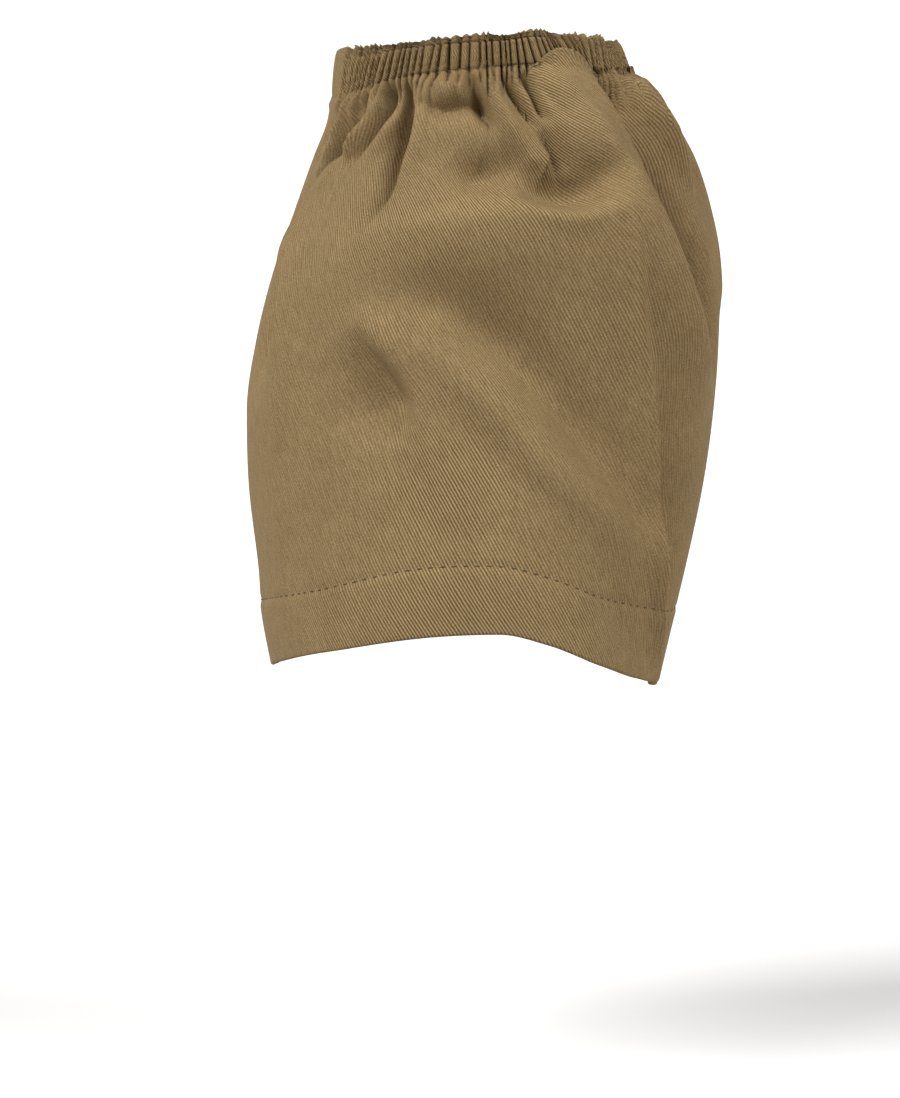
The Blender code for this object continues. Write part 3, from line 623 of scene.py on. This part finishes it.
def cloth_directions(turns, drops, points):
    """Which way the cloth's own right and down run, on a grid of its points."""
    normals = grid_normals(points)
    down = form(turns, drops + HALF_DROP) - form(turns, drops - HALF_DROP)
    down = unit(down - normals * (down * normals).sum(-1, keepdims=True))
    right = unit(np.cross(normals, down))
    lean = np.radians(in_places(LEANS, turns, drops))[..., None]
    return np.cos(lean) * right - np.sin(lean) * down, np.cos(lean) * down + np.sin(lean) * right


def flatten(points, directions):
    """Coordinates on the flat cloth for a grid of its points, whose steps are as near to the cloth's own as
    can be: a least squares fit, solved with a cosine transform."""
    rows, columns = points.shape[:2]
    beside, below = np.diff(points, axis=1), np.diff(points, axis=0)
    wide = 1 / np.linalg.norm(beside, axis=-1).mean() ** 2
    tall = 1 / np.linalg.norm(below, axis=-1).mean() ** 2
    row_rates = tall * (2 - 2 * np.cos(np.pi * np.arange(2 * rows) / rows))
    column_rates = wide * (2 - 2 * np.cos(np.pi * np.arange(2 * columns) / columns))
    rates = row_rates[:, None] + column_rates[None, :]
    rates[0, 0] = 1.0
    flat = []
    for along in directions:
        sideways = wide * ((along[:, 1:] + along[:, :-1]) / 2 * beside).sum(-1)
        down = tall * ((along[1:] + along[:-1]) / 2 * below).sum(-1)
        flow = -np.diff(sideways, axis=1, prepend=0, append=0) - np.diff(down, axis=0, prepend=0, append=0)
        mirrored = np.block([[flow, flow[:, ::-1]], [flow[::-1], flow[::-1, ::-1]]])
        flat.append(np.fft.ifft2(np.fft.fft2(mirrored) / rates).real[:rows, :columns])
    return np.stack(flat, axis=-1)


def blur(values, width):
    """A smoothed copy along its first axis, with a Gaussian of this many steps."""
    reach = int(3 * width)
    kernel = np.exp(-((np.arange(-reach, reach + 1) / width) ** 2) / 2)
    kernel /= kernel.sum()
    padded = np.pad(values, [(reach, reach)] + [(0, 0)] * (values.ndim - 1), mode="edge")
    return np.apply_along_axis(lambda line: np.convolve(line, kernel, mode="valid"), 0, padded)


def panel_points(side):
    """The grid of a panel's outer face, its flat cloth coordinates, and how clear its ribs are."""
    drops = panel_drops()
    turns = panel_turns(side, drops)
    drops = np.repeat(drops[:, None], turns.shape[1], axis=1)
    points = cloth(turns, drops)
    normals = grid_normals(points)
    # the cloth rolls in at the side seams
    widths = grid_lengths(points, 1)
    to_seam = np.minimum(widths, widths[:, -1:] - widths)
    roll = SEAM_ROLL * (1 - ease(to_seam, SEAM_ROLL_WIDTH)) ** 2
    points = points - normals * roll[..., None]
    # it runs on up behind the casing's edge, and its hem edge folds over inwards
    tuck = points[:1] + np.array([0, 0, SEAM_TUCK]) - normals[:1] * TUCK_IN
    down = unit(points[-1] - points[-3])
    angles = math.pi * np.arange(1, HEM_FOLD_STEPS + 1)[:, None, None] / HEM_FOLD_STEPS
    fold = points[-1] + HEM_ROLL * (np.sin(angles) * down - (1 - np.cos(angles)) * normals[-1])
    points = np.concatenate([tuck, points, fold])
    # its flat coordinates, which leave the small pleats out
    unpleated = cloth(turns, drops, pleated=False)
    flat = flatten(unpleated, cloth_directions(turns, drops, unpleated))
    folded = flat[-1] + HEM_ROLL * angles * np.array([0, 1])
    flat = np.concatenate([flat[:1] - np.array([0, SEAM_TUCK]), flat, folded])
    # clear scales the ribs' bump and their painted highlight and shade, stronger where light catches them
    clear = CLEAR_PLAIN + in_places(CLEARER_RIBS_AND_PAINTED_GLINTS, turns, drops)
    clear = np.concatenate([clear[:1], clear, clear[-1:].repeat(HEM_FOLD_STEPS, axis=0)])
    return points, flat, clear


def hem_points(side):
    """The same for the hem's turned-up layer, on the side that faces the panel."""
    drops = np.linspace(1 - HEM_DEPTH / CLOTH_PER_DROP, PANEL_SHOWN / CLOTH_PER_DROP, HEM_ROWS)
    start, end = seam_turns(side, drops)
    trim = HEM_TRIM * (end - start)
    shares = np.linspace(0, 1, HEM_COLUMNS + 1)[None, :]
    turns = (start + trim)[:, None] * (1 - shares) + (end - trim)[:, None] * shares
    points = cloth(turns, np.repeat(drops[:, None], HEM_COLUMNS + 1, axis=1))
    points = points - grid_normals(points) * (CLOTH + TURN_UP_GAP)
    flat = np.stack([grid_lengths(points, 1), grid_lengths(points, 0)], axis=-1)
    return points, flat, np.full(points.shape[:2], CLEAR_PLAIN)


def new_mesh(name, points, faces, flat, material, clear=None):
    """An object from points in millimetres. flat is where each lies on the flat cloth, for the weave, and
    clear is how clearly the ribs show there."""
    mesh = bpy.data.meshes.new(name)
    points = np.asarray(points, float).reshape(-1, 3) * MM
    mesh.from_pydata(points.tolist(), [], faces)
    layer = mesh.uv_layers.new(name="cloth")
    flat = np.asarray(flat, float).reshape(-1, 2) * MM
    loops = np.empty(len(mesh.loops), np.int32)
    mesh.loops.foreach_get("vertex_index", loops)
    layer.data.foreach_set("uv", flat[loops].astype(np.float32).ravel())
    if clear is not None:
        layer = mesh.attributes.new("clear", "FLOAT", "POINT")
        layer.data.foreach_set("value", np.asarray(clear, np.float32).ravel())
    mesh.polygons.foreach_set("use_smooth", [True] * len(mesh.polygons))
    mesh.update()
    mesh.materials.append(material)
    piece = bpy.data.objects.new(name, mesh)
    bpy.context.scene.collection.objects.link(piece)
    return piece


def grid_faces(rows, columns, first=0, flip=False):
    """The faces of a grid of points, whose first point has this index."""
    i, j = np.indices((rows - 1, columns - 1))
    a = first + i * columns + j
    b, c, d = a + 1, a + columns + 1, a + columns
    return np.stack([a, b, c, d] if flip else [a, d, c, b], axis=-1).reshape(-1, 4)


def ring_faces(rows, columns):
    """The faces of a grid of points, row by row, whose last row and column join its first ones."""
    i, j = np.indices((rows, columns))
    below, beside = (i + 1) % rows * columns, (j + 1) % columns
    corners = [i * columns + j, below + j, below + beside, i * columns + beside]
    return np.stack(corners, axis=-1).reshape(-1, 4)


def border(rows, columns, first=0):
    """The points round the edge of a grid, whose first point has this index, back to that one."""
    index = first + np.arange(rows * columns).reshape(rows, columns)
    return np.concatenate([index[0, :-1], index[:-1, -1], index[-1, :0:-1], index[:0:-1, 0], [first]])


def shell(name, points, flat, clear, thickness, material):
    """A sheet of cloth with this grid as its outer face, a coarser inner face, and a rim between the two."""
    rows, columns = points.shape[:2]
    step = INNER_STEP
    assert (rows - 1) % step == 0 and (columns - 1) % step == 0
    inner = (points - grid_normals(points) * thickness)[::step, ::step]
    inner_rows, inner_columns = inner.shape[:2]
    first = rows * columns
    faces = grid_faces(rows, columns).tolist()
    faces += grid_faces(inner_rows, inner_columns, first, flip=True).tolist()
    outer_edge, inner_edge = border(rows, columns), border(inner_rows, inner_columns, first)
    spans = [outer_edge[k : len(outer_edge) - step + k : step] for k in range(step + 1)]
    faces += np.stack([*spans, inner_edge[1:], inner_edge[:-1]], axis=-1).tolist()
    points = np.concatenate([points.ravel(), inner.ravel()])
    flat = np.concatenate([flat.ravel(), flat[::step, ::step].ravel()])
    clear = np.concatenate([clear.ravel(), clear[::step, ::step].ravel()])
    return new_mesh(name, points, faces, flat, material, clear)


# ------ casing
def ring_points(turn, out, rise):
    """Points this far out from the panels' top edge and this far up from it."""
    a = np.radians(turn)
    points = form(turn, np.zeros_like(turn))
    share = rise / column(RING, wrapped(turn), 2)
    right = (CASING_INSET_RIGHT + CASING_LEAN * share) * np.maximum(np.sin(a), 0) ** 2
    out = out - right - CASING_INSET_LEFT * np.maximum(-np.sin(a), 0) ** 2
    out = out + CASING_FLARE * puff_reach(turn, 0.0) * (1 - share)
    points[:, 0] += out * np.sin(a)
    points[:, 1] -= out * np.cos(a)
    points[:, 2] += rise
    return points


def casing_row(turn, relief, out, up, peaks):
    """One row of the casing's points, from its section's values and a chance height for each pleat."""
    rise = column(RING, wrapped(turn), 2) * (1 + up) / 2
    away, index = nearest_pleat(turn, rise)
    shape = pleat_shape(away, PLEAT_GROOVE)
    crest = PLEAT_RELIEF * PLEAT_DEPTHS[index] * (shape - PLEAT_LEVEL)
    facing = 1.0 if out > CASING_INSIDE else -1.0
    upper = CASING_CRESTS * crest + CASING_BUMPS * peaks[index] * shape
    lower = CASING_SCALLOP * (0.5 - shape) + CASING_UNEVEN * peaks[index - UNEVEN_SHIFT]
    lift = np.clip(up, 0, 1) ** EDGE_POWER * upper + np.clip(-up, 0, 1) ** EDGE_POWER * lower
    return ring_points(turn, out + facing * relief * crest, rise + lift)


def casing_points():
    """The casing's outer face as a grid: up its outer side, over the top and down its inner side."""
    table = np.array([(k, *row) for k, row in enumerate(CASING_SECTION)], float)
    at = np.linspace(0, len(CASING_SECTION) - 1, CASING_ROWS)
    relief, out, up = (smooth(at, table[:, 0], table[:, k]) for k in (1, 2, 3))
    rng = np.random.default_rng(PLEAT_SEED + 1)
    peaks = blur(rng.uniform(-1, 1, PLEATS), PEAK_BLUR)
    fine = np.linspace(-180, 180, 3 * CASING_COLUMNS + 1)
    rows = []
    for n in range(CASING_ROWS):
        points = casing_row(fine, relief[n], out[n], up[n], peaks)
        length = grid_lengths(points[None], 1)[0]
        turn = np.interp(np.linspace(0, length[-1], CASING_COLUMNS + 1), length, fine)
        rows.append(casing_row(turn, relief[n], out[n], up[n], peaks))
    return np.array(rows)[::-1]


def add_casing(material):
    """The casing's cloth, a channel that is open at its lower edge."""
    points = casing_points()
    around = grid_lengths(points, 1)[CASING_FACE_ROW]
    over = grid_lengths(points, 0).mean(axis=1)[:, None]
    flat = np.stack(np.broadcast_arrays(around, over), axis=-1)
    clear = np.full(points.shape[:2], CLEAR_CASING)
    return shell("casing_cloth", points, flat, clear, CASING_CLOTH, material)


def add_elastic(material):
    """The elastic inside the casing, as a flat band."""
    turn = np.linspace(-180, 180, ELASTIC_STEPS, endpoint=False)
    out, up = ELASTIC_THICKNESS / 2, ELASTIC_HEIGHT / 2
    low, high = ELASTIC_EDGE - up, up - ELASTIC_EDGE
    section = [(out, high), (out, low), (0.0, -up), (-out, low), (-out, high), (0.0, up)]
    middle = column(RING, turn, 2) / 2
    points = np.array([ring_points(turn, ELASTIC_OUT + o, middle + h) for o, h in section])
    rows, columns = points.shape[:2]
    lengths = np.linalg.norm(np.diff(points[0], axis=0), axis=1).mean() * np.arange(columns)
    flat = np.stack(np.broadcast_arrays(lengths, points[..., 2]), axis=-1)
    return new_mesh("elastic_strip", points, ring_faces(rows, columns).tolist(), flat, material)


# ------ stitches
def add_stitches(name, side, inset, material):
    """The hem's stitches on one face of the cloth, as short threads whose ends dive into it."""
    start, end = seam_turns(side, LINE_DROP)
    turns = np.linspace(start + LINE_TRIM, end - LINE_TRIM, LINE_STEPS)

    def on_cloth(turn, lift):
        drop = stitch_line(wrapped(turn))
        return cloth(turn, drop) + outward(turn, drop) * (lift - inset)[:, None]

    length = grid_lengths(on_cloth(turns, np.zeros_like(turns))[None], 1)[0]
    rng = np.random.default_rng(len(name))
    shares = np.linspace(0, 1, STITCH_SEGMENTS + 1)
    arch = np.sin(np.pi * shares)
    radii = STITCH_RADIUS * (STITCH_END + (1 - STITCH_END) * arch[:, None, None])
    lift = (STITCH_ARCH * arch - STITCH_SUNK) * (1 if inset == 0 else -1)
    sides = np.arange(STITCH_SIDES)
    angles = 2 * math.pi * sides[:, None] / STITCH_SIDES
    tube = ring_faces(STITCH_SEGMENTS + 1, STITCH_SIDES)[:-STITCH_SIDES]
    points, faces, flat = [], [], []
    for begin in np.arange(LINE_START, length[-1] - STITCH_PITCH, STITCH_PITCH):
        begin += rng.uniform(-STITCH_SHIFT, STITCH_SHIFT)
        at = begin + STITCH_LENGTH * rng.uniform(*STITCH_VARIES) * shares
        turn = np.interp(at, length, turns)
        middle = on_cloth(turn, lift)
        out = outward(turn, stitch_line(wrapped(turn)))
        beside = np.cross(unit(np.gradient(middle, axis=0)), out)
        first = len(points) * STITCH_SIDES
        spokes = np.cos(angles) * beside[:, None] + np.sin(angles) * out[:, None]
        points.extend(middle[:, None] + radii * spokes)
        flat.extend([[(place, side * STITCH_SIDE) for side in sides] for place in at])
        faces += (first + tube).tolist()
        faces += [(first + sides).tolist(), (first + STITCH_SEGMENTS * STITCH_SIDES + sides[::-1]).tolist()]
    return new_mesh(name, points, faces, flat, material)


# ------ materials
RIB_WANDERS = 0.5  # of its pitch
RIB_STREAKS = 0.16  # of chance's rate across a rib, along it
RIB_BREAKS = (1.8, 0.1)  # of a rib's height, by the grain and by itself
YARNS = 1.55  # along a rib, for each of its pitches
YARN_SKEW = 0.5
YARN_RELIEF = 0.07
SLUB_RELIEF = 0.5
GRAIN_RELIEF = 1.1
# the cloth's own tone from dark to light, which also carries painted shade between the ribs and a painted
# highlight on their crests
DRILL_DARK_AND_PAINTED_SHADE = (0.118, 0.077, 0.031, 1)
DRILL_LIGHT_AND_PAINTED_HIGHLIGHT = (0.400, 0.280, 0.138, 1)
DRILL_STOPS = (0.12, 0.92)  # of the relief, from the painted shade between the ribs to the painted highlight on their crests
MOTTLE_SCALE = 60.0
MOTTLE = {"From Min": 0.25, "From Max": 0.75, "To Min": 0.93, "To Max": 1.07}


def new_material(name):
    """A new material, with its node tree and its shader."""
    material = bpy.data.materials.new(name)
    material.use_nodes = True
    return material, material.node_tree, material.node_tree.nodes["Principled BSDF"]


def fill(tree, node, inputs):
    """Set inputs of a node, each to a value or from another node's output."""
    for name, value in inputs.items():
        if isinstance(value, bpy.types.NodeSocket):
            tree.links.new(value, node.inputs[name])
        else:
            node.inputs[name].default_value = value


def add_node(tree, kind, inputs, **settings):
    """A new node with these settings and inputs."""
    node = tree.nodes.new("ShaderNode" + kind)
    for name, value in settings.items():
        setattr(node, name, value)
    fill(tree, node, inputs)
    return node


def add_ramp(tree, value, dark, light, stops=(0.0, 1.0)):
    """Colours from dark to light by this value."""
    ramp = add_node(tree, "ValToRGB", {0: value})
    for element, stop, color in zip(ramp.color_ramp.elements, stops, (dark, light)):
        element.position = stop
        element.color = color
    return ramp.outputs[0]


def drill_material():
    """Cotton drill: broken diagonal ribs crossed by yarns, with slubs, grain and a faint mottle. Its colour
    is lighter on the ribs' crests and darker between them, which is painted highlight and painted shade of
    their relief.
    """
    material, tree, shader = new_material("drill")

    def math_node(operation, *values):
        return add_node(tree, "Math", dict(enumerate(values)), operation=operation).outputs[0]

    def noise(vector, scale, detail=2.0, roughness=0.5):
        inputs = {"Vector": vector, "Scale": scale, "Detail": detail, "Roughness": roughness}
        return add_node(tree, "TexNoise", inputs).outputs[0]

    uv = add_node(tree, "UVMap", {}, uv_map="cloth")
    u, v, _ = add_node(tree, "SeparateXYZ", {0: uv.outputs[0]}).outputs
    pitches_across = math.sin(math.radians(RIB_SLOPE)) / (RIB_PITCH * MM)
    pitches_down = math.cos(math.radians(RIB_SLOPE)) / (RIB_PITCH * MM)
    rib = math_node("MULTIPLY_ADD", v, -pitches_down, math_node("MULTIPLY", u, pitches_across))
    along = math_node("MULTIPLY_ADD", v, pitches_across, math_node("MULTIPLY", u, pitches_down))
    plain = add_node(tree, "CombineXYZ", {0: rib, 1: along}).outputs[0]
    slow = math_node("MULTIPLY", along, RIB_STREAKS)
    streaked = add_node(tree, "CombineXYZ", {0: rib, 1: slow}).outputs[0]
    wander = math_node("MULTIPLY_ADD", noise(streaked, scale=0.35), RIB_WANDERS, rib)
    wave = math_node("SINE", math_node("MULTIPLY", wander, 2 * math.pi))
    skewed = math_node("ADD", along, math_node("MULTIPLY", rib, YARN_SKEW))
    yarns = math_node("SINE", math_node("MULTIPLY", skewed, 2 * math.pi * YARNS))
    slub = noise(streaked, scale=1.1, detail=3.0)
    grain = noise(plain, scale=1.6, detail=3.0, roughness=0.65)
    clear = add_node(tree, "Attribute", {}, attribute_name="clear").outputs["Fac"]
    broken = math_node("MULTIPLY", wave, math_node("MULTIPLY_ADD", grain, *RIB_BREAKS))
    # clear sets how strongly the ribs show, in the bump and in their painted highlight and shade
    height = math_node("MULTIPLY_ADD", broken, math_node("MULTIPLY", clear, RIB_STRENGTH), 0.5)
    height = math_node("MULTIPLY_ADD", math_node("MULTIPLY", yarns, wave), YARN_RELIEF, height)
    for chance, relief in ((slub, SLUB_RELIEF), (grain, GRAIN_RELIEF)):
        height = math_node("ADD", height, math_node("MULTIPLY_ADD", chance, relief, -relief / 2))

    place = add_node(tree, "NewGeometry", {}).outputs["Position"]
    tone = add_node(tree, "MapRange", {"Value": noise(place, MOTTLE_SCALE, detail=3.0), **MOTTLE})
    # the ribs' relief sets the colour: painted shade between them and a painted highlight on their crests,
    # with the slubs' and grain's own tone
    color = add_ramp(tree, height, DRILL_DARK_AND_PAINTED_SHADE, DRILL_LIGHT_AND_PAINTED_HIGHLIGHT, DRILL_STOPS)
    inputs = {"Factor": 1.0, "A": color, "B": tone.outputs[0]}
    mix = add_node(tree, "Mix", inputs, data_type="RGBA", blend_type="MULTIPLY")
    bump = add_node(tree, "Bump", {"Strength": 0.8, "Distance": 0.12 * MM, "Height": height})
    inputs = {"Base Color": mix.outputs["Result"], "Normal": bump.outputs[0]}
    fill(tree, shader, {**inputs, "Roughness": 0.86, "Specular IOR Level": 0.12})
    return material


def yarn_material(name, dark, light, pitch, lean):
    """Twisted or woven yarn: fine stripes that lean across the strand."""
    material, tree, shader = new_material(name)
    uv = add_node(tree, "UVMap", {}, uv_map="cloth")
    turned = {"Vector": uv.outputs[0], "Rotation": (0, 0, math.radians(lean))}
    turned = add_node(tree, "Mapping", turned).outputs[0]
    scale = 2 * math.pi / (20.0 * pitch * MM)  # the texture has 20 waves in a scale of 2 pi
    inputs = {"Vector": turned, "Scale": scale, "Distortion": 1.2, "Detail": 2.0}
    wave = add_node(tree, "TexWave", inputs).outputs["Fac"]
    bump = add_node(tree, "Bump", {"Strength": 0.5, "Distance": 0.05 * MM, "Height": wave})
    inputs = {"Base Color": add_ramp(tree, wave, (*dark, 1), (*light, 1)), "Normal": bump.outputs[0]}
    fill(tree, shader, {**inputs, "Roughness": 0.7})
    return material


# ------ stage
FLOOR_HEIGHT = -262.0
FLOOR_SIZE = 60.0  # metres
CAMERA_DISTANCE = 2000.0
CAMERA_ELEVATION = 6.0
CAMERA_TARGET = (-8.2, 0.0, -127.4)
FRAME_HEIGHT = 288.9  # what the picture's height shows at the target
SENSOR = 36.0
LAMPS = [
    # name, degrees to the right of the front, degrees up, spread in degrees, strength
    ("left", -48.0, 42.0, 34.0, 2.55),
    ("right", 58.0, 36.0, 34.0, 1.5),
]
ROOM = [
    # two shades of its light, multiplied: axis, from and to these places on it, light at each
    (2, -0.6, 1.0, 0.8, 0.42),
    (1, -1.0, -0.2, 0.3, 1.0),
]


def aim(direction):
    """The rotation of a lamp or camera that points this way."""
    return Vector(direction).to_track_quat("-Z", "Y").to_euler()


def add_stage():
    """A plain pale floor, well below the cover, which is worn at the height of an ankle."""
    material, tree, shader = new_material("paper")
    fill(tree, shader, {"Base Color": (0.97, 0.97, 0.97, 1), "Roughness": 0.9, "Specular IOR Level": 0.0})
    bpy.ops.mesh.primitive_plane_add(size=FLOOR_SIZE, location=(0, 0, FLOOR_HEIGHT * MM))
    floor = bpy.context.object
    floor.name = "floor"
    floor.data.materials.append(material)
    floor.visible_diffuse = False


def add_lights():
    """Two soft lamps, in front to each side, in a pale room that is darker behind the camera."""
    for name, right, up, spread, strength in LAMPS:
        data = bpy.data.lights.new(name, "SUN")
        data.angle = math.radians(spread)
        data.energy = strength
        light = bpy.data.objects.new(name, data)
        a, b = math.radians(right), math.radians(up)
        light.rotation_euler = aim((-math.sin(a) * math.cos(b), math.cos(a) * math.cos(b), -math.sin(b)))
        bpy.context.scene.collection.objects.link(light)
    world = bpy.data.worlds.new("studio")
    bpy.context.scene.world = world
    world.use_nodes = True
    tree = world.node_tree
    place = add_node(tree, "TexCoord", {}).outputs["Generated"]
    places = add_node(tree, "SeparateXYZ", {0: place}).outputs
    shades = {}
    for axis, start, end, low, high in ROOM:
        inputs = {"Value": places[axis], "From Min": start, "From Max": end, "To Min": low, "To Max": high}
        shades[len(shades)] = add_node(tree, "MapRange", inputs).outputs[0]
    both = add_node(tree, "Math", shades, operation="MULTIPLY").outputs[0]
    fill(tree, tree.nodes["Background"], {"Color": (1, 0.99, 0.97, 1), "Strength": both})
    bpy.context.scene.view_settings.view_transform = "Standard"


def add_camera():
    """The photograph's view, from straight ahead and a little above."""
    elevation = math.radians(CAMERA_ELEVATION)
    target = np.array(CAMERA_TARGET)
    place = target + CAMERA_DISTANCE * np.array([0.0, -math.cos(elevation), math.sin(elevation)])
    camera = bpy.data.cameras.new("camera")
    camera.sensor_width = SENSOR
    camera.lens = SENSOR * CAMERA_DISTANCE / FRAME_HEIGHT
    camera.clip_end = 100.0
    holder = bpy.data.objects.new("camera", camera)
    holder.location = place * MM
    holder.rotation_euler = aim(target - place)
    bpy.context.scene.collection.objects.link(holder)
    bpy.context.scene.camera = holder


def main():
    """Build each piece in place of its solid, and then the floor, the lights and the camera."""
    drill = drill_material()
    # the thread is darker than its own khaki colour, which is painted shade of the stitch holes
    thread_with_painted_shade = yarn_material("thread_with_painted_shade", (0.045, 0.028, 0.013), (0.11, 0.072, 0.036), 0.25, 35.0)
    for side in ("front", "back"):
        panel = shell(f"{side}_cloth", *panel_points(side), CLOTH, drill)
        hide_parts(f"{side}_panel")
        hem = shell(f"hem_{side}_cloth", *hem_points(side), CLOTH, drill)
        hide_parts(f"hem_{side}")
        outer = add_stitches(f"stitches_{side}", side, 0.0, thread_with_painted_shade)
        inner = add_stitches(f"stitches_{side}_inside", side, 2 * CLOTH + TURN_UP_GAP, thread_with_painted_shade)
        for piece in (panel, hem, outer, inner):
            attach(piece, BODY)
    casing = add_casing(drill)
    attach(casing, BODY)
    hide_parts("casing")
    elastic = add_elastic(yarn_material("elastic", (0.48, 0.46, 0.41), (0.68, 0.66, 0.6), 0.9, 90.0))
    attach(elastic, BODY)
    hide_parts("elastic_band")
    add_stage()
    add_lights()
    add_camera()


main()
